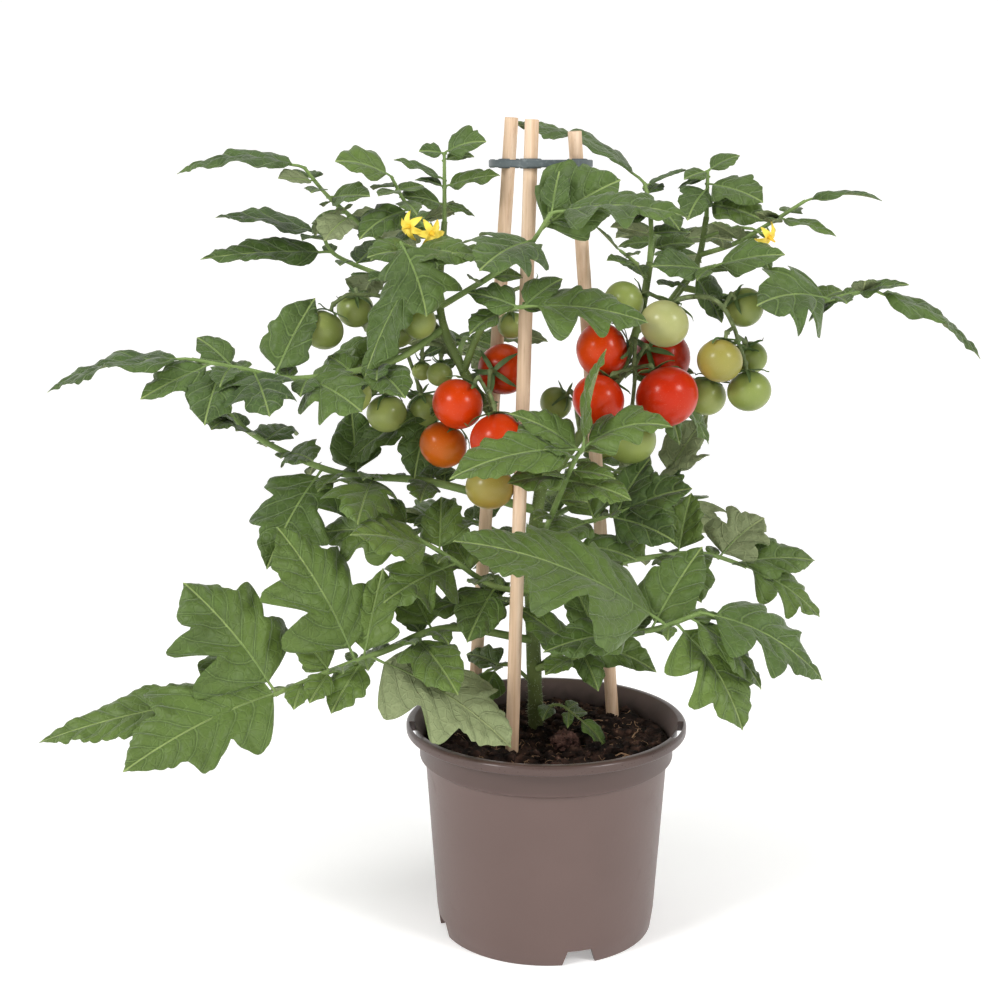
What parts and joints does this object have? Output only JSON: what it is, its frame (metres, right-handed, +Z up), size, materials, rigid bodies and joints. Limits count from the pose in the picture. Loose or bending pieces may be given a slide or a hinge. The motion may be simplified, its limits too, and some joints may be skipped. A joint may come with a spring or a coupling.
{
  "type": "potted tomato plant",
  "caption": "Bushy cherry tomato plant with ripe and green fruit, staked with ringed wooden sticks in a round nursery pot.",
  "frame": {"origin": "middle of the pot's underside, on the surface that the pot stands on", "axes": "+Z up, the front with most ripe fruit at -Y"},
  "size_m": [0.5316, 0.3074, 0.4873],
  "materials": {
    "pot": "satin",
    "compost": "matte",
    "stick": "matte",
    "clip": "satin",
    "stem": "satin",
    "leaf": "satin",
    "truss": "satin",
    "petal": "matte",
    "fruit_red": "gloss",
    "fruit_orange": "gloss",
    "fruit_turning": "gloss",
    "fruit_pale": "gloss"
  },
  "bodies": {
    "root": {"pot": "pot", "soil": "compost", "stick_front": "stick", "stick_right": "stick", "stick_left": "stick", "stick_clip": "clip", "stem": "stem", "truss_left": "truss", "fruit_left_1": "fruit_red", "fruit_left_2": "fruit_red", "fruit_left_3": "fruit_red", "fruit_left_4": "fruit_orange", "fruit_left_5": "fruit_turning", "truss_left_high": "truss", "truss_left_low": "truss", "truss_middle": "truss", "truss_right": "truss", "fruit_right_1": "fruit_red", "fruit_right_2": "fruit_red", "fruit_right_3": "fruit_red", "fruit_right_4": "fruit_red", "truss_right_low": "truss", "truss_right_high": "truss", "fruit_right_high_1": "fruit_pale", "fruit_right_high_2": "fruit_turning", "spray_left": "truss", "bloom_left_1": "petal", "bloom_left_2": "petal", "bloom_left_3": "petal", "spray_right": "truss", "bloom_right_1": "petal", "leaf_low_left": "leaf", "leaf_big_front": "leaf", "leaf_centre_front": "leaf", "leaf_mid_left": "leaf", "leaf_left_long": "leaf", "leaf_left_high": "leaf", "leaf_top_left_a": "leaf", "leaf_top_left_b": "leaf", "leaf_tip_left": "leaf", "leaf_tip_middle": "leaf", "leaf_front_hang": "leaf", "leaf_centre_high": "leaf", "leaf_top_arch": "leaf", "leaf_small_middle": "leaf", "leaf_tip_right": "leaf", "leaf_right_high": "leaf", "leaf_right_long": "leaf", "leaf_right_dark": "leaf", "leaf_centre_middle": "leaf", "leaf_low_right": "leaf", "leaf_right_middle": "leaf", "leaf_right_pale": "leaf", "leaf_back_low": "leaf", "leaf_back_left": "leaf", "leaf_back_right": "leaf", "leaf_back_middle": "leaf", "leaf_back_high_left": "leaf", "leaf_back_high_right": "leaf"}
  },
  "joints": []
}
